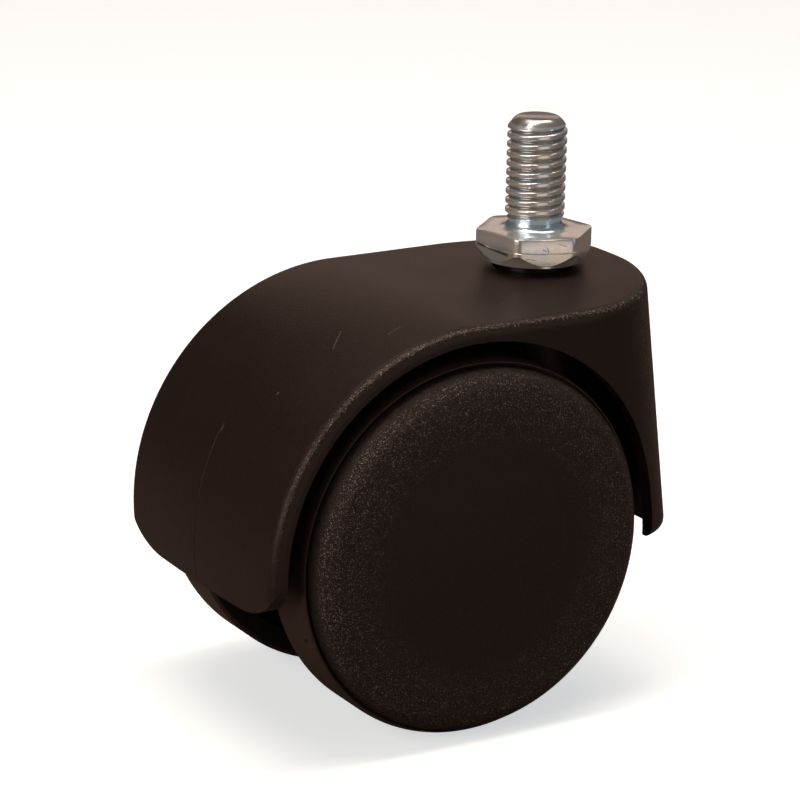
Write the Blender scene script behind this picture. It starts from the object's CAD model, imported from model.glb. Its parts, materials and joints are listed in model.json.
# %% [markdown]
# # A twin-wheel chair caster
#
# This lesson dresses a working model of an office chair caster: a black moulded hood over two
# covered wheels, with a zinc-plated threaded stem. The construction, the sizes and the joints
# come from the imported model, which is loaded first and never moved. Blender adds the finish of
# every surface, and the shapes that follow a rule, such as the thread.
#
# Everything is in metres, with the origin on the stem's axis at the top of its hexagon flange.

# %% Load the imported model
import bpy
import bmesh
import json
import math
from mathutils import Matrix, Vector

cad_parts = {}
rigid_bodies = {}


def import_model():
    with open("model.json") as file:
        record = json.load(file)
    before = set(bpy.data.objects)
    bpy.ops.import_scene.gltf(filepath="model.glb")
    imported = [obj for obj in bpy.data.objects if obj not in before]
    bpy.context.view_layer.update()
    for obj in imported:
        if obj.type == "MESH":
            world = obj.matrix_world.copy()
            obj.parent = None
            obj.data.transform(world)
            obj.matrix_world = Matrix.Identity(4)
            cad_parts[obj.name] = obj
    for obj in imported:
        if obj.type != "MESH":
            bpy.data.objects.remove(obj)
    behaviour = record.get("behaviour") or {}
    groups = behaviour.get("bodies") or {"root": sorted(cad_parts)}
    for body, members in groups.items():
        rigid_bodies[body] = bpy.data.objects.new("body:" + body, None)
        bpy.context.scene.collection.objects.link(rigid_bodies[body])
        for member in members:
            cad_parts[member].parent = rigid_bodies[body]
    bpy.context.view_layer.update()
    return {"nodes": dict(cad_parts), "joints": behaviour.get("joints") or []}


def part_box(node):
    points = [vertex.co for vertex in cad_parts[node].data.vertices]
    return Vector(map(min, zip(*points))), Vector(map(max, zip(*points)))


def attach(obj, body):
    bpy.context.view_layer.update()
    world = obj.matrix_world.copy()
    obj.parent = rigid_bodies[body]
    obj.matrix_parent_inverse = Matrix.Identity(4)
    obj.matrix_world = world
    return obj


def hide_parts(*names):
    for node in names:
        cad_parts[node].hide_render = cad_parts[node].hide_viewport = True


for leftover in list(bpy.data.objects):
    bpy.data.objects.remove(leftover)
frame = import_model()
nodes = frame["nodes"]
print("nodes:", sorted(nodes))

# %% [markdown]
# ## Sizes that everything else is worked out from
#
# The joints say where the axle is, and each node's box says how large it is, so the wheels, the
# covers, the floor and the stem's length are read from the frame. The frame doesn't hold the
# sizes inside a piece, such as the flange's cone, so those are named in millimetres beside the
# piece that needs them.

# %% Places taken from the frame
MM = 0.001
joint_place = {joint["name"]: Vector(joint["pos_m"]) for joint in frame["joints"]}
axle = Vector((joint_place["left_wheel_spin"].x, 0, joint_place["left_wheel_spin"].z))
wheel_low, wheel_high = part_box("right_wheel")
cover_low, cover_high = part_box("right_wheel_cover")
stem_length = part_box("threaded_stem")[1].z
wheel_radius = (wheel_high.x - wheel_low.x) / 2
floor_z = wheel_low.z
print("axle at", [round(v / MM, 2) for v in axle], "mm, wheel radius", round(wheel_radius / MM, 2))

# %% [markdown]
# ## Small helpers for building node trees
#
# Shader and geometry trees are long when every socket is linked by hand. One helper adds a node,
# sets its options and then links each input that is given as a socket, or sets it when it is a
# plain value. A second helper starts a group with named inputs and outputs.

# %% Node helpers
def add_node(tree, kind, inputs=None, **options):
    """A new node; an input given as a socket is linked and any other value is set."""
    made = tree.nodes.new(kind)
    for option, value in options.items():
        setattr(made, option, value)
    for key, value in (inputs or {}).items():
        if isinstance(value, bpy.types.NodeSocket):
            tree.links.new(value, made.inputs[key])
        else:
            made.inputs[key].default_value = value
    return made


def maths(tree, operation, first, second=0.5, third=0.5, clamp=False):
    """The result of a Math node."""
    made = add_node(
        tree, "ShaderNodeMath", {0: first, 1: second, 2: third}, operation=operation, use_clamp=clamp
    )
    return made.outputs[0]


def ramp_between(tree, value, low, high):
    """0 below `low`, 1 above `high`, with a smooth step between."""
    made = add_node(
        tree,
        "ShaderNodeMapRange",
        {"Value": value, "From Min": low, "From Max": high},
        interpolation_type="SMOOTHSTEP",
    )
    return made.outputs["Result"]


def mix_colour(tree, factor, first, second):
    """A colour between two, by `factor`."""
    made = add_node(
        tree, "ShaderNodeMix", {"Factor": factor, "A": first, "B": second}, data_type="RGBA"
    )
    return made.outputs["Result"]


def new_group(name, kind, inputs, outputs):
    """A node group with named sockets, and its input and output nodes."""
    tree = bpy.data.node_groups.new(name, kind)
    for label, (socket, default) in inputs.items():
        made = tree.interface.new_socket(label, in_out="INPUT", socket_type="NodeSocket" + socket)
        if default is not None:
            made.default_value = default
    for label, socket in outputs.items():
        tree.interface.new_socket(label, in_out="OUTPUT", socket_type="NodeSocket" + socket)
    return tree, tree.nodes.new("NodeGroupInput"), tree.nodes.new("NodeGroupOutput")


print("helpers ready")

# %% [markdown]
# ## Grain of the mould
#
# The black parts are nylon, moulded against a spark-eroded steel surface. That leaves fine round
# pits and peaks, which break the light into small sparks wherever the surface turns towards it.
# A picture of the grain would need an unwrapped mesh. Noise in the piece's own coordinates gives
# the same grain on every face, so one group makes it, and each plastic gives its own grain size.

# %% Shader group: moulded grain
grain, grain_in, grain_out = new_group(
    "moulded_grain",
    "ShaderNodeTree",
    {
        "Grains per metre": ("Float", 4000.0),
        "Depth": ("Float", 0.3),
        "Waviness": ("Float", 0.2),
    },
    {"Height": "Float", "Sparks": "Float", "Clouds": "Float"},
)
grain_place = add_node(grain, "ShaderNodeTexCoord").outputs["Object"]
fine = add_node(
    grain,
    "ShaderNodeTexNoise",
    {
        "Vector": grain_place,
        "Scale": grain_in.outputs["Grains per metre"],
        "Detail": 2.0,
        "Roughness": 0.55,
    },
)
cells = add_node(
    grain,
    "ShaderNodeTexVoronoi",
    {"Vector": grain_place, "Scale": grain_in.outputs["Grains per metre"], "Randomness": 1.0},
    feature="SMOOTH_F1",
)
broad = add_node(
    grain, "ShaderNodeTexNoise", {"Vector": grain_place, "Scale": 90.0, "Detail": 3.0}
)
pits = maths(grain, "MULTIPLY", cells.outputs["Distance"], 0.7)
peaks = maths(grain, "MULTIPLY", fine.outputs["Fac"], grain_in.outputs["Depth"])
waves = maths(grain, "MULTIPLY", broad.outputs["Fac"], grain_in.outputs["Waviness"])
rough_height = maths(grain, "MULTIPLY_ADD", pits, grain_in.outputs["Depth"], peaks)
grain.links.new(maths(grain, "ADD", rough_height, waves), grain_out.inputs["Height"])
grain.links.new(ramp_between(grain, fine.outputs["Fac"], 0.56, 0.70), grain_out.inputs["Sparks"])
grain.links.new(broad.outputs["Fac"], grain_out.inputs["Clouds"])
print("grain group:", len(grain.nodes), "nodes")

# %% [markdown]
# ## Handling marks
#
# A loose caster gets knocked about in a box of others, which leaves a few short pale scratches.
# Each one is the distance to a line between two points, so a mark can be put anywhere on the
# surface and still be a hair's breadth wide.

# %% Shader group: one scratch
scratch, scratch_in, scratch_out = new_group(
    "scratch_mark",
    "ShaderNodeTree",
    {
        "Start": ("Vector", (0.0, 0.0, 0.0)),
        "End": ("Vector", (0.0, 0.0, 0.001)),
        "Width": ("Float", 0.00006),
    },
    {"Mask": "Float"},
)


def vector_maths(tree, operation, first, second=(0, 0, 0)):
    """A Vector Math node."""
    return add_node(tree, "ShaderNodeVectorMath", {0: first, 1: second}, operation=operation)


scratch_place = add_node(scratch, "ShaderNodeTexCoord").outputs["Object"]
from_start = vector_maths(scratch, "SUBTRACT", scratch_place, scratch_in.outputs["Start"])
along = vector_maths(
    scratch, "SUBTRACT", scratch_in.outputs["End"], scratch_in.outputs["Start"]
).outputs["Vector"]
reach = vector_maths(scratch, "DOT_PRODUCT", from_start.outputs["Vector"], along).outputs["Value"]
length = vector_maths(scratch, "DOT_PRODUCT", along, along).outputs["Value"]
share = maths(scratch, "DIVIDE", reach, length, clamp=True)
nearest = add_node(
    scratch, "ShaderNodeVectorMath", {0: along, "Scale": share}, operation="SCALE"
).outputs["Vector"]
gap = vector_maths(
    scratch, "DISTANCE", from_start.outputs["Vector"], nearest
).outputs["Value"]
mark = ramp_between(scratch, maths(scratch, "DIVIDE", gap, scratch_in.outputs["Width"]), 1.0, 0.3)
scratch.links.new(mark, scratch_out.inputs["Mask"])
print("scratch group:", len(scratch.nodes), "nodes")

# %% [markdown]
# ## A material's own nodes
#
# Every finish ends in one Principled shader. The groups give it colours, masks and heights, and
# the shader itself stays in the material, with its plain numbers set on its own sockets.

# %% Material helpers
def new_material(name, **plain):
    """A material with one Principled shader; `plain` sets its sockets by their labels."""
    made = bpy.data.materials.new(name)
    made.use_nodes = True
    shader = made.node_tree.nodes["Principled BSDF"]
    for label, value in plain.items():
        shader.inputs[label.replace("_", " ")].default_value = value
    return made, made.node_tree, shader


def place_group(tree, group, **values):
    """One copy of a shader group in a material, with its own values."""
    made = tree.nodes.new("ShaderNodeGroup")
    made.node_tree = group
    for label, value in values.items():
        made.inputs[label.replace("_", " ")].default_value = value
    return made.outputs


def bump(tree, height, distance, strength=1.0):
    """A Bump node's normal, for a height in shares of `distance`."""
    inputs = {"Height": height, "Distance": distance, "Strength": strength}
    return add_node(tree, "ShaderNodeBump", inputs).outputs["Normal"]


print("material helpers ready")

# %% [markdown]
# ## Black plastic of the hood
#
# The hood is a satin, slightly warm black. Its rounded edges catch the light and sparkle, and a
# seam where the mould closed runs up the middle of the barrel. Either could be painted on an
# unwrapped mesh. Masks from the hood's own normals and coordinates need no unwrapping, and they
# follow the edge wherever it goes.

# %% Material: hood plastic
def moulded_plastic(name, colour, lift, grains, depth, roughness, sparkle):
    """A moulded plastic's material, tree and shader, with its grain, colour and roughness."""
    made, tree, shader = new_material(name, Roughness=roughness, Specular_IOR_Level=0.42, IOR=1.5)
    shader.inputs["Specular Tint"].default_value = (1.0, 0.84, 0.76, 1)
    noise = place_group(tree, grain, Grains_per_metre=grains, Depth=depth, Waviness=0.25)
    tone = mix_colour(tree, noise["Clouds"], colour, lift)
    sparks = maths(tree, "MULTIPLY", noise["Sparks"], sparkle)
    lit = mix_colour(tree, sparks, tone, (0.22, 0.20, 0.19, 1))
    rough = add_node(
        tree,
        "ShaderNodeMapRange",
        {"Value": noise["Clouds"], "To Min": roughness - 0.06, "To Max": roughness + 0.06},
    ).outputs["Result"]
    return made, tree, shader, noise, lit, rough


hood_plastic, tree, shader, noise, lit, rough = moulded_plastic(
    "hood_plastic", (0.0115, 0.0070, 0.0055, 1), (0.0150, 0.0092, 0.0072, 1), 4300, 0.45, 0.42, 0.04
)
place = add_node(tree, "ShaderNodeTexCoord")
turn = add_node(tree, "ShaderNodeSeparateXYZ", {0: place.outputs["Normal"]}).outputs
spot = add_node(tree, "ShaderNodeSeparateXYZ", {0: place.outputs["Object"]}).outputs
sideways = maths(tree, "ABSOLUTE", turn["Y"])
leaving_top = ramp_between(tree, sideways, 0.22, 0.60)
before_side = ramp_between(tree, sideways, 0.95, 0.72)
upper = ramp_between(tree, spot["Z"], axle.z - 4 * MM, axle.z + 26 * MM)
edge = maths(tree, "MULTIPLY", maths(tree, "MULTIPLY", leaving_top, before_side), upper)
edge_sparks = maths(tree, "MULTIPLY", maths(tree, "MULTIPLY", edge, noise["Sparks"]), 0.70)
lit = mix_colour(tree, edge_sparks, lit, (0.30, 0.27, 0.25, 1))

seam_half_width = 0.20 * MM
on_seam = ramp_between(tree, maths(tree, "ABSOLUTE", spot["Y"]), seam_half_width, 0.0)
behind = ramp_between(tree, spot["X"], axle.x - 24 * MM, axle.x - 27.5 * MM)
seam = maths(tree, "MULTIPLY", on_seam, behind)
lit = mix_colour(tree, maths(tree, "MULTIPLY", seam, 0.95), lit, (0.003, 0.002, 0.002, 1))

hood_marks = (
    # where each mark starts and ends on the hood, and its width, in millimetres
    ((-35.3, -8.7, -9.9), (-32.8, -6.3, -8.5), 0.10),
    ((-42.0, -6.8, -15.3), (-42.1, -6.8, -15.5), 0.22),
    ((-17.2, 0.0, -5.4), (-16.4, 0.6, -5.4), 0.12),
    ((-23.0, -10.5, -5.9), (-22.8, -10.5, -5.9), 0.16),
    ((-29.9, -13.0, -7.6), (-28.0, -12.7, -7.0), 0.10),
    ((-46.5, -0.2, -21.4), (-46.1, -0.2, -20.4), 0.12),
)
scratches = None
for start, end, width in hood_marks:
    ends = {"Start": [v * MM for v in start], "End": [v * MM for v in end]}
    one = place_group(tree, scratch, Width=width * MM, **ends)["Mask"]
    scratches = one if scratches is None else maths(tree, "MAXIMUM", scratches, one)
lit = mix_colour(tree, maths(tree, "MULTIPLY", scratches, 0.4), lit, (0.20, 0.17, 0.16, 1))
tree.links.new(lit, shader.inputs["Base Color"])
tree.links.new(rough, shader.inputs["Roughness"])
coarser = maths(tree, "MULTIPLY_ADD", edge, 1.5, 0.5)
height = maths(tree, "MULTIPLY", noise["Height"], coarser)
height = maths(tree, "SUBTRACT", height, maths(tree, "MULTIPLY", seam, 0.6))
tree.links.new(bump(tree, height, 0.12 * MM, 1.0), shader.inputs["Normal"])
print("hood plastic:", len(tree.nodes), "nodes")

# %% [markdown]
# ## Wheel covers and treads
#
# The covers were given a deeper texture than the hood, so they glitter on their shoulders. The
# tread beside them is the same nylon, worn smooth and browner. Both change in rings round the
# axle, so one group gives each of them its distance from the axle's line.

# %% Shader group: distance from the axle
from_axle, from_axle_in, from_axle_out = new_group(
    "distance_from_axle",
    "ShaderNodeTree",
    {"Axle": ("Vector", tuple(axle))},
    {"Distance": "Float"},
)
wheel_place = add_node(from_axle, "ShaderNodeTexCoord").outputs["Object"]
beside_axle = vector_maths(from_axle, "SUBTRACT", wheel_place, from_axle_in.outputs["Axle"])
square_on = vector_maths(from_axle, "MULTIPLY", beside_axle.outputs["Vector"], (1, 0, 1))
out_from_axle = vector_maths(from_axle, "LENGTH", square_on.outputs["Vector"])
from_axle.links.new(out_from_axle.outputs["Value"], from_axle_out.inputs["Distance"])
print("axle distance group:", len(from_axle.nodes), "nodes")

# %% Material: wheel cover
cover_plastic, tree, shader, noise, lit, rough = moulded_plastic(
    "cover_plastic", (0.0080, 0.0049, 0.0042, 1), (0.0110, 0.0068, 0.0058, 1), 6000, 1.0, 0.31, 0.05
)
from_hub = place_group(tree, from_axle)["Distance"]
on_shoulder = ramp_between(tree, from_hub, wheel_radius * 0.52, wheel_radius * 0.88)
before_rim = ramp_between(tree, from_hub, wheel_radius * 0.962, wheel_radius * 0.935)
glitter = maths(tree, "MULTIPLY", maths(tree, "MULTIPLY", on_shoulder, before_rim), noise["Sparks"])
lit = mix_colour(tree, maths(tree, "MULTIPLY", glitter, 0.8), lit, (0.50, 0.43, 0.41, 1))
tree.links.new(maths(tree, "MULTIPLY", glitter, 0.85), shader.inputs["Metallic"])
tree.links.new(lit, shader.inputs["Base Color"])
tree.links.new(rough, shader.inputs["Roughness"])
coarser = maths(tree, "MULTIPLY_ADD", on_shoulder, 0.8, 0.35)
height = maths(tree, "MULTIPLY", noise["Height"], coarser)
tree.links.new(bump(tree, height, 0.20 * MM, 1.0), shader.inputs["Normal"])
print("cover plastic:", len(tree.nodes), "nodes")

# %% Material: wheel and tread
wheel_plastic, tree, shader, noise, lit, rough = moulded_plastic(
    "wheel_plastic", (0.0340, 0.0215, 0.0175, 1), (0.0420, 0.0270, 0.0220, 1), 5200, 0.18, 0.50, 0.02
)
from_hub = place_group(tree, from_axle)["Distance"]
worn = ramp_between(tree, from_hub, wheel_radius * 0.972, wheel_radius * 0.985)
turn = add_node(tree, "ShaderNodeTexCoord").outputs["Normal"]
turn_parts = add_node(tree, "ShaderNodeSeparateXYZ", {0: turn}).outputs
sideways = maths(tree, "ABSOLUTE", turn_parts["Y"])
rounded_edge = maths(
    tree,
    "MULTIPLY",
    ramp_between(tree, sideways, 0.20, 0.40),
    ramp_between(tree, sideways, 0.92, 0.80),
)
rough = maths(tree, "MULTIPLY", rough, maths(tree, "MULTIPLY_ADD", rounded_edge, -0.75, 1.0))
lit = mix_colour(tree, worn, (0.0065, 0.0045, 0.0040, 1), lit)
# the pale tread carries the dark mark where the plastic was let into the mould
gate_ends = {
    "Start": (-43.5 * MM, -17.6 * MM, -44.6 * MM),
    "End": (-43.3 * MM, -17.0 * MM, -44.9 * MM),
}
gate = place_group(tree, scratch, Width=0.42 * MM, **gate_ends)["Mask"]
lit = mix_colour(tree, gate, lit, (0.004, 0.003, 0.003, 1))
tree.links.new(lit, shader.inputs["Base Color"])
tree.links.new(rough, shader.inputs["Roughness"])
height = maths(tree, "SUBTRACT", noise["Height"], maths(tree, "MULTIPLY", gate, 4.0))
tree.links.new(bump(tree, height, 0.05 * MM, 0.8), shader.inputs["Normal"])
print("wheel plastic:", len(tree.nodes), "nodes")

# %% [markdown]
# ## Bright zinc on the stem
#
# Zinc plate is a thin bright coat over forged and rolled steel. It shows fine scuffs, a warm
# cast where the passivation is thick and a cool one where it is thin, and dark oil in the
# thread's roots. The steel pieces inside share its clouds and scuffs, so one group makes both,
# and each metal gives its own scale.

# %% Shader group: clouds and scuffs of a metal
plate_wear, plate_wear_in, plate_wear_out = new_group(
    "plate_wear",
    "ShaderNodeTree",
    {"Clouds per metre": ("Float", 260.0), "Scuffs per metre": ("Float", 3640.0)},
    {"Clouds": "Float", "Scuffs": "Float"},
)
plate_place = add_node(plate_wear, "ShaderNodeTexCoord").outputs["Object"]
for label, detail in (("Clouds", 5.0), ("Scuffs", 4.0)):
    patches = add_node(
        plate_wear,
        "ShaderNodeTexNoise",
        {
            "Vector": plate_place,
            "Scale": plate_wear_in.outputs[label + " per metre"],
            "Detail": detail,
        },
    )
    plate_wear.links.new(patches.outputs["Fac"], plate_wear_out.inputs[label])
print("plate group:", len(plate_wear.nodes), "nodes")

# %% Metals
scuffs_to_a_cloud = 14


def plated_metal(name, colour, tint, roughness, scale, scuff, oiled=None):
    """A metal with a cloudy tint and fine scuffs; `oiled` makes masks of cool and oily places."""
    made, tree, shader = new_material(name, Metallic=0.82, Roughness=roughness)
    wear = place_group(
        tree, plate_wear, Clouds_per_metre=scale, Scuffs_per_metre=scale * scuffs_to_a_cloud
    )
    tone = mix_colour(tree, ramp_between(tree, wear["Clouds"], 0.35, 0.65), colour, tint)
    if oiled is not None:
        cool, dark = oiled(tree)
        tone = mix_colour(tree, cool, tone, (0.56, 0.74, 0.92, 1))
        tone = mix_colour(tree, dark, tone, (0.035, 0.036, 0.040, 1))
    tree.links.new(tone, shader.inputs["Base Color"])
    rough = add_node(
        tree,
        "ShaderNodeMapRange",
        {"Value": wear["Scuffs"], "To Min": roughness - 0.07, "To Max": roughness + 0.12},
    ).outputs["Result"]
    tree.links.new(rough, shader.inputs["Roughness"])
    tree.links.new(bump(tree, wear["Scuffs"], 0.02 * MM, scuff), shader.inputs["Normal"])
    return made


print("metal helper ready")

# %% Oil, scratches and the lap on the stem
hexagon_flats = 14.0  # millimetres across
hexagon_turn = 41.4  # degrees from +X to the first corner
flange_height = 4.0
near_flat = hexagon_turn + 210  # the way two of its flats face, in degrees
left_flat = hexagon_turn + 150
stem_marks = (
    # the flat, where each mark starts and ends on it in millimetres, and its width
    (near_flat, (-0.6, -1.30), (-0.1, -1.55), 0.08),
    (near_flat, (0.05, -1.15), (0.25, -1.75), 0.08),
    (near_flat, (1.5, -0.6), (2.6, -1.0), 0.05),
    (near_flat, (-2.9, -2.5), (-1.6, -2.7), 0.06),
    (left_flat, (-3.6, -1.8), (-1.2, -2.0), 0.22),
    (left_flat, (-1.2, -2.0), (2.2, -2.3), 0.28),
)


def on_flat(facing, across, height):
    """A point on one of the flange's flats, in metres, from millimetres across it and up."""
    turned = math.radians(facing)
    out = hexagon_flats / 2 * math.cos(turned) - across * math.sin(turned)
    aside = hexagon_flats / 2 * math.sin(turned) + across * math.cos(turned)
    return (out * MM, aside * MM, height * MM)


def oil_on_stem(tree):
    """Masks of the cool plate at the neck, and of oil in roots, scratches and below the flange."""
    place = add_node(tree, "ShaderNodeTexCoord").outputs["Object"]
    spot = add_node(tree, "ShaderNodeSeparateXYZ", {0: place}).outputs
    flat_spot = add_node(tree, "ShaderNodeCombineXYZ", {"X": spot["X"], "Y": spot["Y"]}).outputs[0]
    from_axis = add_node(
        tree, "ShaderNodeVectorMath", {0: flat_spot}, operation="LENGTH"
    ).outputs["Value"]
    in_root = ramp_between(tree, from_axis, 3.66 * MM, 3.45 * MM)
    on_thread = ramp_between(tree, spot["Z"], 1.6 * MM, 2.2 * MM)
    root = maths(tree, "MULTIPLY", maths(tree, "MULTIPLY", in_root, on_thread), 0.45)
    below = ramp_between(tree, spot["Z"], -flange_height * MM, (-flange_height - 0.1) * MM)
    dark = maths(tree, "MAXIMUM", root, below)
    for facing, start, end, width in stem_marks:
        ends = {"Start": on_flat(facing, *start), "End": on_flat(facing, *end)}
        mark = place_group(tree, scratch, Width=width * MM, **ends)["Mask"]
        dark = maths(tree, "MAXIMUM", dark, maths(tree, "MULTIPLY", mark, 0.8))
    above_flange = ramp_between(tree, spot["Z"], 0.05 * MM, 0.4 * MM)
    below_thread = ramp_between(tree, spot["Z"], 2.6 * MM, 1.4 * MM)
    at_neck = maths(tree, "MULTIPLY", above_flange, below_thread)
    return maths(tree, "MULTIPLY", at_neck, 0.8), dark


zinc = plated_metal(
    "zinc_plate", (0.90, 0.91, 0.86, 1), (0.80, 0.89, 0.97, 1), 0.20, 260, 0.35, oil_on_stem
)
spring_steel = plated_metal(
    "spring_steel", (0.22, 0.22, 0.23, 1), (0.14, 0.14, 0.16, 1), 0.35, 300, 0.5
)
plain_steel = plated_metal(
    "plain_steel", (0.52, 0.51, 0.50, 1), (0.42, 0.42, 0.43, 1), 0.30, 300, 0.5
)
print("metals done")

# %% [markdown]
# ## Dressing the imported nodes
#
# The bush, washers, rings and axle are hidden in use, and show only when the caster is taken
# apart or seen from below. They still get their own steel, acetal or nylon, because a plain
# grey would stand out there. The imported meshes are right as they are, so only their material
# slots change.

# %% Plastics inside the caster
def hidden_plastic(name, colour, lift, roughness):
    """A plastic with the mould's grain and nothing else."""
    made, tree, shader, _, lit, rough = moulded_plastic(
        name, colour, lift, 4200, 0.2, roughness, 0.02
    )
    tree.links.new(lit, shader.inputs["Base Color"])
    tree.links.new(rough, shader.inputs["Roughness"])
    return made


dark_acetal = hidden_plastic(
    "dark_acetal", (0.045, 0.045, 0.046, 1), (0.06, 0.06, 0.06, 1), 0.38
)
white_nylon = hidden_plastic("white_nylon", (0.60, 0.58, 0.52, 1), (0.68, 0.66, 0.60, 1), 0.40)
print("hidden plastics done")

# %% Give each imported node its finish
finish_of = {
    "hood": hood_plastic,
    "threaded_stem": zinc,
    "stem_snap_ring": spring_steel,
    "stem_bush": dark_acetal,
    "thrust_washer": plain_steel,
    "axle": plain_steel,
    "left_wheel": wheel_plastic,
    "right_wheel": wheel_plastic,
    "left_wheel_cover": cover_plastic,
    "right_wheel_cover": cover_plastic,
    "left_axle_spacer": white_nylon,
    "right_axle_spacer": white_nylon,
    "left_axle_retainer": spring_steel,
    "right_axle_retainer": spring_steel,
}
for name, finish in finish_of.items():
    for slot in nodes[name].material_slots:
        slot.material = finish
print(len(finish_of), "nodes dressed")

# %% [markdown]
# ## The rolled thread
#
# The thread is the one shape here that follows a rule exactly: a ridge that climbs by one pitch
# each turn. A screw modifier would need its ends trimmed by hand. Instead a Geometry Nodes tree
# wraps a flat grid round the axis and moves each point in or out by how far it is from the
# ridge, so the run-out at the neck and the chamfer at the tip are part of the same rule.

# %% Geometry Nodes: thread
thread_radius = 3.93 * MM
thread_pitch = 1.25 * MM
thread_depth = 0.50 * MM
neck_radius = 3.55 * MM
neck_height = 1.0 * MM
tip_flat_radius = 2.5 * MM
tip_bevel = 1.45 * MM
tip_dimple = 0.12 * MM

thread, thread_in, thread_out = new_group(
    "rolled_thread",
    "GeometryNodeTree",
    {
        "Radius": ("Float", thread_radius),
        "Pitch": ("Float", thread_pitch),
        "Depth": ("Float", thread_depth),
        "Length": ("Float", stem_length),
        "Neck radius": ("Float", neck_radius),
        "Neck height": ("Float", neck_height),
        "Tip radius": ("Float", tip_flat_radius),
        "Tip bevel": ("Float", tip_bevel),
        "Dimple": ("Float", tip_dimple),
        "Around": ("Int", 96),
        "Rows": ("Int", 260),
        "Finish": ("Material", None),
    },
    {"Geometry": "Geometry"},
)
size = thread_in.outputs
grid = add_node(
    thread,
    "GeometryNodeMeshGrid",
    {"Size X": 1.0, "Size Y": 1.0, "Vertices X": size["Around"], "Vertices Y": size["Rows"]},
)
flat = add_node(
    thread, "ShaderNodeSeparateXYZ", {0: add_node(thread, "GeometryNodeInputPosition").outputs[0]}
).outputs
round_share = maths(thread, "ADD", flat["X"], 0.5)
row_share = maths(thread, "ADD", flat["Y"], 0.5)
angle = maths(thread, "MULTIPLY", round_share, math.tau)
rise = maths(thread, "MULTIPLY", row_share, size["Length"])
turns = maths(thread, "SUBTRACT", maths(thread, "DIVIDE", rise, size["Pitch"]), round_share)
phase = maths(thread, "FRACT", turns)
from_crest = maths(thread, "ABSOLUTE", maths(thread, "SUBTRACT", phase, 0.5))
ridge = ramp_between(thread, from_crest, 0.48, 0.16)
threaded = maths(
    thread,
    "SUBTRACT",
    size["Radius"],
    maths(thread, "MULTIPLY", maths(thread, "SUBTRACT", 1.0, ridge), size["Depth"]),
)
run_out_start = size["Neck height"]
run_out_end = maths(thread, "ADD", run_out_start, size["Pitch"])
run_out = ramp_between(thread, rise, run_out_start, run_out_end)
stem_radius = maths(
    thread,
    "MULTIPLY_ADD",
    maths(thread, "SUBTRACT", threaded, size["Neck radius"]),
    run_out,
    size["Neck radius"],
)
to_tip = maths(thread, "SUBTRACT", size["Length"], rise)
bevel_share = maths(thread, "POWER", maths(thread, "DIVIDE", to_tip, size["Tip bevel"]), 0.62)
bevel_width = maths(thread, "SUBTRACT", size["Radius"], size["Tip radius"])
bevelled = maths(thread, "MULTIPLY_ADD", bevel_share, bevel_width, size["Tip radius"])
trimmed = maths(thread, "SMOOTH_MIN", stem_radius, bevelled, 0.15 * MM)
inner_rows = maths(thread, "LESS_THAN", maths(thread, "ABSOLUTE", flat["Y"]), 0.4999)
final_radius = maths(thread, "MULTIPLY", trimmed, inner_rows)
final_height = maths(
    thread, "MULTIPLY_ADD", maths(thread, "SUBTRACT", inner_rows, 1.0), size["Dimple"], rise
)
wrapped = add_node(
    thread,
    "ShaderNodeCombineXYZ",
    {
        "X": maths(thread, "MULTIPLY", final_radius, maths(thread, "COSINE", angle)),
        "Y": maths(thread, "MULTIPLY", final_radius, maths(thread, "SINE", angle)),
        "Z": final_height,
    },
).outputs[0]
moved = add_node(
    thread, "GeometryNodeSetPosition", {"Geometry": grid.outputs["Mesh"], "Position": wrapped}
)
closed = add_node(
    thread, "GeometryNodeMergeByDistance", {"Geometry": moved.outputs[0], "Distance": 0.00001 * MM}
)
smooth = add_node(thread, "GeometryNodeSetShadeSmooth", {"Geometry": closed.outputs[0]})
real = add_node(thread, "GeometryNodeRealizeInstances", {"Geometry": smooth.outputs[0]})
dressed = add_node(
    thread,
    "GeometryNodeSetMaterial",
    {"Geometry": real.outputs[0], "Material": size["Finish"]},
)
thread.links.new(dressed.outputs[0], thread_out.inputs["Geometry"])
print("thread tree:", len(thread.nodes), "nodes")


# %% Run a tree and keep its plain mesh
def run_tree(name, tree, **values):
    """A plain mesh object made by a geometry tree, with the modifier gone."""
    carrier = bpy.data.objects.new(name, bpy.data.meshes.new(name))
    bpy.context.scene.collection.objects.link(carrier)
    modifier = carrier.modifiers.new("build", "NODES")
    modifier.node_group = tree
    for item in tree.interface.items_tree:
        label = item.name.replace(" ", "_")
        if item.in_out == "INPUT" and label in values:
            modifier[item.identifier] = values[label]
    ready = carrier.evaluated_get(bpy.context.evaluated_depsgraph_get())
    plain = bpy.data.meshes.new_from_object(ready)
    carrier.modifiers.remove(modifier)
    carrier.data = plain
    return carrier


def face_outward(piece):
    """Turns every face of a closed piece to point out of it."""
    work = bmesh.new()
    work.from_mesh(piece.data)
    bmesh.ops.recalc_face_normals(work, faces=work.faces)
    work.to_mesh(piece.data)
    work.free()


thread_piece = run_tree("stem_thread", thread, Finish=zinc)
face_outward(thread_piece)
print("thread:", len(thread_piece.data.polygons), "faces")

# %% [markdown]
# ## The forged flange and the pin
#
# The flange is a hexagon whose lower corners a lathe has turned to a cone, so each flat ends in
# an arc. A box-modelled hexagon cut by a cone gives long thin faces. Here the flange is a stack
# of rings instead: each ring's radius is the hexagon's own radius in that direction, held in by
# the cone below, and the corners keep a small rounding.

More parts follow.
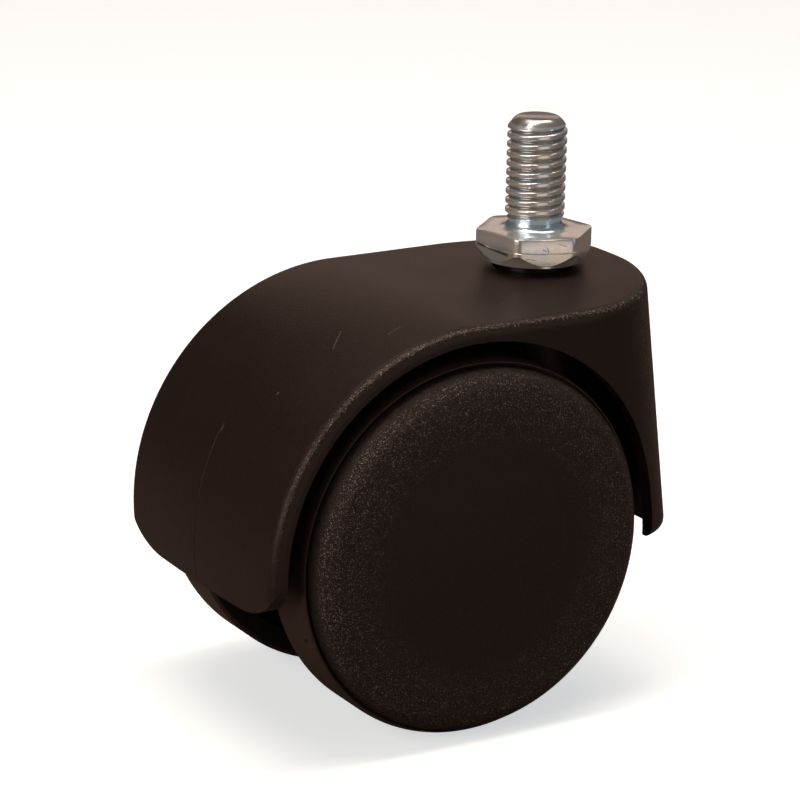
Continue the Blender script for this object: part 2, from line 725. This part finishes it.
# %% Rings round the stem
def ring_stack(name, rings, around, finish, place=Matrix()):
    """A closed piece from rings, each a function from an angle to a radius and a height."""
    mesh = bpy.data.meshes.new(name)
    work = bmesh.new()
    loops = []
    for ring in rings:
        loop = []
        for step in range(around):
            turn_angle = math.tau * step / around
            radius, height = ring(turn_angle)
            loop.append(
                work.verts.new(
                    (radius * math.cos(turn_angle), radius * math.sin(turn_angle), height)
                )
            )
        loops.append(loop)
    for lower, upper in zip(loops, loops[1:]):
        for step in range(around):
            after = (step + 1) % around
            work.faces.new((lower[step], lower[after], upper[after], upper[step]))
    work.faces.new(loops[0])
    work.faces.new(loops[-1])
    work.transform(place)
    bmesh.ops.recalc_face_normals(work, faces=work.faces)
    work.to_mesh(mesh)
    work.free()
    mesh.materials.append(finish)
    piece = bpy.data.objects.new(name, mesh)
    bpy.context.scene.collection.objects.link(piece)
    return piece


def plain_ring(radius, height):
    """A round ring, in millimetres."""
    return lambda turn_angle: (radius * MM, height * MM)


# %% Sizes of the flange and the pin, in millimetres
corner_turned = 7.85  # the hexagon's corners are turned down to this
corner_blend = 0.12
side_height = 2.3  # height of those corners above the cone
seat_radius = 6.8  # where the cone ends
shoulder_radius = 4.9
shoulder_bottom = -flange_height - 4.0
forging_line = -1.9
lap_spread = 17  # degrees round the left flat
pin_radius = 4.0
groove_radius = 3.3
groove_top = -22.9
groove_bottom = -24.1
groove_slant = 0.05
pin_tip = -29.0
pin_chamfer = 0.8
print("flange corners at", corner_turned, "mm, pin down to", pin_tip, "mm")


# %% Rings of the flange
def hexagon_radius(turn_angle):
    """Distance from the axis to the hexagon's side in one direction, in millimetres."""
    turned = turn_angle - math.radians(hexagon_turn)
    from_corner = (turned + math.pi / 6) % (math.pi / 3) - math.pi / 6
    side = hexagon_flats / 2 / math.cos(math.pi / 6 - abs(from_corner))
    both = math.exp(-side / corner_blend) + math.exp(-corner_turned / corner_blend)
    return -corner_blend * math.log(both)


def cone_height(radius):
    """Height at which the turned cone meets a given radius, in millimetres."""
    slope = (flange_height - side_height) / (corner_turned - seat_radius)
    return -side_height - (corner_turned - radius) * slope


def side_ring(share, inset=0.0):
    """A ring on the hexagon's side, `share` of the way from its top down to the cone."""

    def ring(turn_angle):
        radius = hexagon_radius(turn_angle)
        return (radius - inset) * MM, share * cone_height(radius) * MM

    return ring


def line_ring(drop, inset):
    """A ring beside the line that the forging dies leave: it wanders, and one flat has a lap."""

    def ring(turn_angle):
        radius = hexagon_radius(turn_angle)
        wander = 0.07 * math.sin(5 * turn_angle + 1) + 0.04 * math.sin(13 * turn_angle)
        lap = math.exp(-(((math.degrees(turn_angle) - left_flat) / lap_spread) ** 4))
        depth = inset * (1 + 6 * lap)
        return (radius - depth) * MM, (forging_line + wander + drop * (1 + lap)) * MM

    return ring


flange = ring_stack(
    "stem_flange",
    [
        plain_ring(shoulder_radius, shoulder_bottom),
        plain_ring(shoulder_radius, -flange_height - 0.1),
        plain_ring(shoulder_radius + 0.1, -flange_height),
        plain_ring(seat_radius - 0.1, -flange_height),
        plain_ring(seat_radius + 0.1, -flange_height + 0.08),
        side_ring(1.0, 0.12),
        side_ring(0.97),
        line_ring(-0.06, 0.0),
        line_ring(0.0, 0.07),
        line_ring(0.08, 0.0),
        side_ring(0.10),
        side_ring(0.02, 0.05),
        side_ring(0.0, 0.16),
        plain_ring(5.6, 0.0),
        plain_ring(4.75, 0.0),
        plain_ring(4.45, 0.06),
        plain_ring(4.05, 0.25),
        plain_ring(3.75, 0.55),
        plain_ring(3.58, 0.95),
        plain_ring(3.52, 1.35),
        plain_ring(3.0, 1.5),
    ],
    240,
    zinc,
)
pin_outline = [
    # radius and height down the turned pin, with the groove for its ring
    (pin_radius, shoulder_bottom),
    (pin_radius, groove_top),
    (groove_radius, groove_top - groove_slant),
    (groove_radius, groove_bottom + groove_slant),
    (pin_radius, groove_bottom),
    (pin_radius, pin_tip + pin_chamfer),
    (pin_radius - pin_chamfer, pin_tip),
]
pin = ring_stack("stem_pin", [plain_ring(*point) for point in pin_outline], 96, zinc)
print("flange:", len(flange.data.polygons), "faces")


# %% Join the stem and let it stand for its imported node
def smooth_by_angle(piece, degrees):
    """Smooth shading that stays sharp where faces meet at more than `degrees`."""
    piece.data.polygons.foreach_set("use_smooth", [True] * len(piece.data.polygons))
    piece.data.set_sharp_from_angle(angle=math.radians(degrees))


def join(name, pieces, finish):
    """One piece from several, in one finish."""
    work = bmesh.new()
    for piece in pieces:
        work.from_mesh(piece.data)
    mesh = bpy.data.meshes.new(name)
    work.to_mesh(mesh)
    work.free()
    mesh.materials.append(finish)
    mesh.polygons.foreach_set("material_index", [0] * len(mesh.polygons))
    whole = bpy.data.objects.new(name, mesh)
    bpy.context.scene.collection.objects.link(whole)
    for piece in pieces:
        bpy.data.objects.remove(piece)
    return whole


zinc_stem = join("zinc_stem", [thread_piece, flange, pin], zinc)
smooth_by_angle(zinc_stem, 38)
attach(zinc_stem, "stem")
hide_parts("threaded_stem")
print("stem:", len(zinc_stem.data.polygons), "faces")

# %% [markdown]
# ## The wheel covers
#
# Each cover is a shallow moulded dish that snaps into the rim. It is the surface the eye rests
# on, and its highlight shows any fault in the mesh, above all where long thin triangles meet in
# the middle. A dish turned from rings of its own section has even faces, and a small flat cap
# closes its middle.

# %% Section of a cover
cover_radius = (cover_high.x - cover_low.x) / 2 / MM
rim_face = -wheel_low.y / MM
dish_top = -cover_low.y / MM
dish_foot = -cover_high.y / MM
dome_rise = 1.4
shoulder_rounding = 2.6
cover_wall = 1.4
rim_step = 0.6  # the cover sits this far below the rim's face
seat_face = rim_face - rim_step
snap_inset = 2.2  # from the cover's edge to the skirt that snaps into the wheel
snap_radius = cover_radius - snap_inset
skirt_wall = 1.2
pole_cap = 0.25
dome_radius = (cover_radius**2 + dome_rise**2) / (2 * dome_rise)


def dome_point(radius, inward):
    """A point of the dome, or of its inside, at one distance from the axle."""
    sphere = dome_radius - inward
    return radius, dish_top - dome_radius + math.sqrt(sphere**2 - radius**2)


rounding_radius = cover_radius - shoulder_rounding
rounding_height = dome_point(rounding_radius, shoulder_rounding)[1]
start_angle = math.asin(rounding_radius / (dome_radius - shoulder_rounding))
dome_end = dome_radius * math.sin(start_angle)
skirt_inside = snap_radius - skirt_wall
steps = 16
cover_outline = [
    dome_point(pole_cap + (dome_end - pole_cap) * step / steps, 0) for step in range(steps)
]
for step in range(steps + 1):
    bend = start_angle + (math.pi / 2 - start_angle) * step / steps
    cover_outline.append(
        (
            rounding_radius + shoulder_rounding * math.sin(bend),
            rounding_height + shoulder_rounding * math.cos(bend),
        )
    )
cover_outline += [
    (cover_radius, seat_face),
    (snap_radius, seat_face),
    (snap_radius, dish_foot),
    (skirt_inside, dish_foot),
]
cover_outline += [
    dome_point(skirt_inside + (pole_cap - skirt_inside) * step / steps, cover_wall)
    for step in range(steps + 1)
]
for hand, side in (("right", -1), ("left", 1)):
    outward = Matrix.Translation(axle) @ Matrix.Rotation(-side * math.pi / 2, 4, "X")
    dish = ring_stack(
        hand + "_cover_dish",
        [plain_ring(*point) for point in cover_outline],
        192,
        cover_plastic,
        outward,
    )
    smooth_by_angle(dish, 38)
    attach(dish, hand + "_wheel")
    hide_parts(hand + "_wheel_cover")
    print(hand, "cover:", len(dish.data.polygons), "faces")

# %% [markdown]
# ## Floor, light and camera
#
# The caster stands on a pale floor that curves up behind it, so no horizon shows. A long strip
# lamp overhead and a broad one on the left do most of the lighting: the strip draws the
# highlight along the hood, and the broad one shapes the barrel and the stem. Weaker lamps fill
# from overhead, behind and the right. A black part on white paper would go grey from the
# paper's own light, so the paper is bright only to the camera.

# %% Stage
def stage_sheet(name, width, depth, rise_height, bend, finish):
    """A floor that bends up into a backdrop, made from one strip."""
    mesh = bpy.data.meshes.new(name)
    work = bmesh.new()
    path = [(-depth, 0.0), (depth - bend, 0.0)]
    for step in range(1, 13):
        bend_angle = math.pi / 2 * step / 12
        path.append(
            (depth - bend + bend * math.sin(bend_angle), bend - bend * math.cos(bend_angle))
        )
    path.append((depth, rise_height))
    rows = [
        [work.verts.new((side * width, along_floor, floor_z + up)) for side in (-1, 1)]
        for along_floor, up in path
    ]
    for near, far in zip(rows, rows[1:]):
        work.faces.new((near[0], near[1], far[1], far[0]))
    work.to_mesh(mesh)
    work.free()
    mesh.materials.append(finish)
    sheet = bpy.data.objects.new(name, mesh)
    bpy.context.scene.collection.objects.link(sheet)
    smooth_by_angle(sheet, 60)
    return sheet


paper, tree, shader = new_material("stage_paper", Roughness=0.9, Specular_IOR_Level=0.0)
seen = add_node(tree, "ShaderNodeLightPath").outputs["Is Camera Ray"]
tree.links.new(
    mix_colour(tree, seen, (0.20, 0.16, 0.14, 1), (0.80, 0.82, 0.84, 1)), shader.inputs["Base Color"]
)
shader.inputs["Emission Color"].default_value = (0.95, 0.99, 1.0, 1)
tree.links.new(maths(tree, "MULTIPLY", seen, 0.60), shader.inputs["Emission Strength"])
backdrop = stage_sheet("backdrop", 3.0, 2.2, 2.5, 0.8, paper)

world = bpy.data.worlds.new("soft_room")
bpy.context.scene.world = world
world.use_nodes = True
world.node_tree.nodes["Background"].inputs["Color"].default_value = (1.0, 0.90, 0.83, 1)
world.node_tree.nodes["Background"].inputs["Strength"].default_value = 0.13


def soft_lamp(name, place_at, aim, width, height, watts, colour):
    """A rectangular lamp that faces `aim`."""
    light = bpy.data.lights.new(name, "AREA")
    light.shape = "RECTANGLE"
    light.size = width
    light.size_y = height
    light.energy = watts
    light.color = colour
    lamp = bpy.data.objects.new(name, light)
    lamp.location = place_at
    lamp.rotation_euler = (Vector(aim) - Vector(place_at)).to_track_quat("-Z", "Y").to_euler()
    lamp.visible_camera = False
    bpy.context.scene.collection.objects.link(lamp)
    return lamp


lamp_aim = (axle.x, 0, axle.z + 0.01)
warm = (1.0, 0.83, 0.72)
strip_place = (axle.x + 0.02, -0.02, 0.52)
soft_lamp("lamp_overhead", (-0.06, 0.10, 0.60), lamp_aim, 0.40, 0.40, 0.9, warm)
strip = soft_lamp("lamp_strip", strip_place, lamp_aim, 0.70, 0.06, 2.0, warm)
strip.rotation_euler = (0, 0, 0)  # straight down, with its length along the caster
soft_lamp("lamp_behind", (0.35, 0.60, 0.22), lamp_aim, 0.60, 0.25, 0.26, (1.0, 0.72, 0.58))
soft_lamp("lamp_left", (-0.60, -0.10, 0.22), lamp_aim, 0.45, 0.4, 1.6, warm)
soft_lamp("lamp_right", (0.30, -0.55, 0.20), lamp_aim, 0.06, 0.45, 0.15, (0.96, 0.98, 1.0))
# a weak glow just above the floor in front, which the flange's near flat reflects
card_place = (-0.02, -0.21, floor_z + 0.002)
soft_lamp("card_in_front", card_place, (0, 0, 0), 0.16, 0.10, 0.035, warm)
print("stage and lamps ready")

# %% [markdown]
# ## The camera
#
# A long lens from a little above keeps the caster's proportions true. An object constraint could
# aim the camera, but the small roll would then need a step of its own. Three axes worked out from
# two angles give the whole turn at once, and the roll mixes two of them.

# %% Camera
view_azimuth = math.radians(-31.25)
view_elevation = math.radians(16.93)
view_roll = math.radians(1.32)
view_distance = 436.34 * MM
view_lens = 150.34  # millimetres, on a 36 mm sensor
view_target = axle + Vector((-0.05 * MM, 0, 14.71 * MM))
away = Vector(
    (
        math.sin(view_azimuth) * math.cos(view_elevation),
        -math.cos(view_azimuth) * math.cos(view_elevation),
        math.sin(view_elevation),
    )
)
camera_data = bpy.data.cameras.new("camera")
camera_data.lens = view_lens
camera_data.sensor_width = 36.0
camera_data.clip_start = 10 * MM
camera = bpy.data.objects.new("camera", camera_data)
camera.location = view_target + away * view_distance
level_right = away.cross(Vector((0, 0, -1))).normalized()
level_up = away.cross(level_right)
right = math.cos(view_roll) * level_right + math.sin(view_roll) * level_up
up = math.cos(view_roll) * level_up - math.sin(view_roll) * level_right
camera.rotation_euler = Matrix((right, up, away)).transposed().to_euler()
bpy.context.scene.collection.objects.link(camera)
bpy.context.scene.camera = camera
bpy.context.scene.view_settings.view_transform = "Standard"
print("camera at", [round(v, 4) for v in camera.location])
